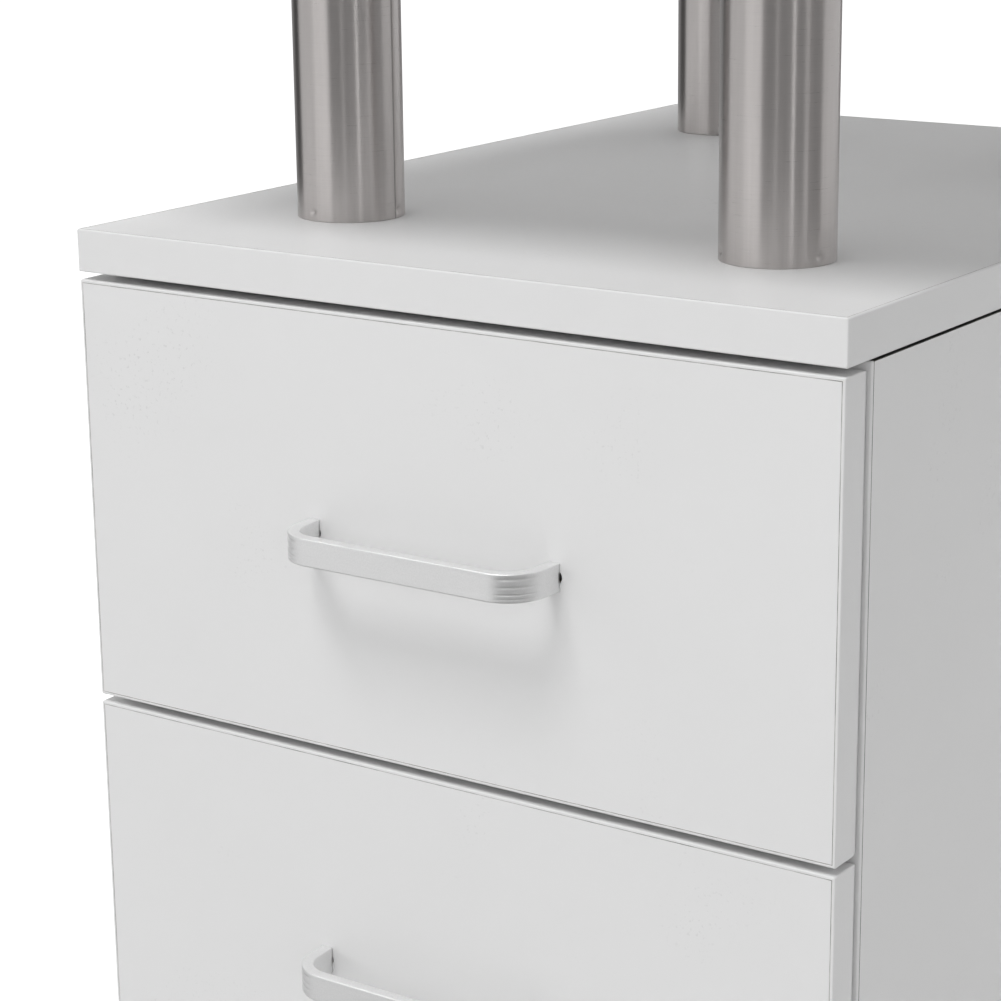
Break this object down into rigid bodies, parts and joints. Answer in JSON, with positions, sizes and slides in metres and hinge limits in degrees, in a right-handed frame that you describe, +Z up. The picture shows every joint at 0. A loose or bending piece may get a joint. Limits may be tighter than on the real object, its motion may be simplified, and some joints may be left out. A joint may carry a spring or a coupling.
{
  "type": "manicure table",
  "caption": "Manicure table: melamine top on a pedestal of drawers with bow handles, an open shelf on steel tubes, and tube legs at the far end.",
  "frame": {"origin": "on the floor, under the middle of the table top", "axes": "+X along the table from the drawer pedestal to the tube legs, drawers open towards -Y, +Z up"},
  "size_m": [1.1, 0.45, 0.76],
  "materials": {
    "tabletop_melamine": "white melamine, fine matt texture",
    "cabinet_melamine": "white melamine, fine matt texture",
    "front_melamine": "white melamine, fine matt texture",
    "drawer_melamine": "white melamine",
    "drawer_sheet": "white coated hardboard",
    "edge_plastic": "white plastic edging",
    "stainless_tube": "brushed around the tube",
    "zinc_steel": "zinc plated",
    "satin_aluminium": "satin, fine scratches",
    "white_epoxy_steel": "white epoxy coat",
    "nylon": "natural nylon",
    "black_plastic": "moulded, fine grain",
    "beech": "fluted beech"
  },
  "bodies": {
    "table": {"tabletop": "tabletop_melamine", "tabletop_edge_band": "edge_plastic", "cabinet_top_board": "cabinet_melamine", "cabinet_top_edge_band": "edge_plastic", "left_side_panel": "cabinet_melamine", "right_side_panel": "cabinet_melamine", "side_panel_edge_bands": "edge_plastic", "back_panel": "cabinet_melamine", "bottom_panel": "cabinet_melamine", "front_left_column": "stainless_tube", "front_right_column": "stainless_tube", "back_left_column": "stainless_tube", "back_right_column": "stainless_tube", "column_end_plugs": "zinc_steel", "column_bolts_and_studs": "zinc_steel", "front_leg": "stainless_tube", "back_leg": "stainless_tube", "front_left_foot": "stainless_tube", "front_right_foot": "stainless_tube", "back_left_foot": "stainless_tube", "back_right_foot": "stainless_tube", "mounting_flanges": "zinc_steel", "flange_screws": "zinc_steel", "floor_glides": "black_plastic", "cam_locks": "zinc_steel", "dowels": "beech", "rail_screws": "zinc_steel", "top_cabinet_rails": "white_epoxy_steel", "middle_cabinet_rails": "white_epoxy_steel", "bottom_cabinet_rails": "white_epoxy_steel"},
    "top_drawer": {"top_drawer_front": "front_melamine", "top_drawer_left_side": "drawer_melamine", "top_drawer_right_side": "drawer_melamine", "top_drawer_back": "drawer_melamine", "top_drawer_bottom": "drawer_sheet", "top_handle": "satin_aluminium", "top_handle_screws": "zinc_steel", "top_drawer_rails": "white_epoxy_steel"},
    "top_drawer_roller_pair": {"top_drawer_rollers": "nylon"},
    "top_cabinet_roller_pair": {"top_cabinet_rollers": "nylon"},
    "middle_drawer": {"middle_drawer_front": "front_melamine", "middle_drawer_left_side": "drawer_melamine", "middle_drawer_right_side": "drawer_melamine", "middle_drawer_back": "drawer_melamine", "middle_drawer_bottom": "drawer_sheet", "middle_handle": "satin_aluminium", "middle_handle_screws": "zinc_steel", "middle_drawer_rails": "white_epoxy_steel"},
    "middle_drawer_roller_pair": {"middle_drawer_rollers": "nylon"},
    "middle_cabinet_roller_pair": {"middle_cabinet_rollers": "nylon"},
    "bottom_drawer": {"bottom_drawer_front": "front_melamine", "bottom_drawer_left_side": "drawer_melamine", "bottom_drawer_right_side": "drawer_melamine", "bottom_drawer_back": "drawer_melamine", "bottom_drawer_bottom": "drawer_sheet", "bottom_handle": "satin_aluminium", "bottom_handle_screws": "zinc_steel", "bottom_drawer_rails": "white_epoxy_steel"},
    "bottom_drawer_roller_pair": {"bottom_drawer_rollers": "nylon"},
    "bottom_cabinet_roller_pair": {"bottom_cabinet_rollers": "nylon"}
  },
  "joints": [
    {"name": "top_drawer_slide", "type": "slide", "parent": "table", "child": "top_drawer", "axis": [0, -1, 0], "range_m": [0, 0.26]},
    {"name": "top_drawer_roller_spin", "type": "hinge", "parent": "top_drawer", "child": "top_drawer_roller_pair", "pos_m": [-0.375, 0.153, 0.4427], "axis": [1, 0, 0], "range_deg": [0, 1700]},
    {"name": "top_cabinet_roller_spin", "type": "hinge", "parent": "table", "child": "top_cabinet_roller_pair", "pos_m": [-0.375, -0.1714, 0.4427], "axis": [1, 0, 0], "range_deg": [0, 1700]},
    {"name": "middle_drawer_slide", "type": "slide", "parent": "table", "child": "middle_drawer", "axis": [0, -1, 0], "range_m": [0, 0.26]},
    {"name": "middle_drawer_roller_spin", "type": "hinge", "parent": "middle_drawer", "child": "middle_drawer_roller_pair", "pos_m": [-0.375, 0.153, 0.2877], "axis": [1, 0, 0], "range_deg": [0, 1700]},
    {"name": "middle_cabinet_roller_spin", "type": "hinge", "parent": "table", "child": "middle_cabinet_roller_pair", "pos_m": [-0.375, -0.1714, 0.2877], "axis": [1, 0, 0], "range_deg": [0, 1700]},
    {"name": "bottom_drawer_slide", "type": "slide", "parent": "table", "child": "bottom_drawer", "axis": [0, -1, 0], "range_m": [0, 0.26]},
    {"name": "bottom_drawer_roller_spin", "type": "hinge", "parent": "bottom_drawer", "child": "bottom_drawer_roller_pair", "pos_m": [-0.375, 0.153, 0.1327], "axis": [1, 0, 0], "range_deg": [0, 1700]},
    {"name": "bottom_cabinet_roller_spin", "type": "hinge", "parent": "table", "child": "bottom_cabinet_roller_pair", "pos_m": [-0.375, -0.1714, 0.1327], "axis": [1, 0, 0], "range_deg": [0, 1700]}
  ],
  "couplings": [
    {"joint": "top_drawer_roller_spin", "follows": "top_drawer_slide", "rad_per_m": 113.64},
    {"joint": "top_cabinet_roller_spin", "follows": "top_drawer_slide", "rad_per_m": 113.64},
    {"joint": "middle_drawer_roller_spin", "follows": "middle_drawer_slide", "rad_per_m": 113.64},
    {"joint": "middle_cabinet_roller_spin", "follows": "middle_drawer_slide", "rad_per_m": 113.64},
    {"joint": "bottom_drawer_roller_spin", "follows": "bottom_drawer_slide", "rad_per_m": 113.64},
    {"joint": "bottom_cabinet_roller_spin", "follows": "bottom_drawer_slide", "rad_per_m": 113.64}
  ]
}
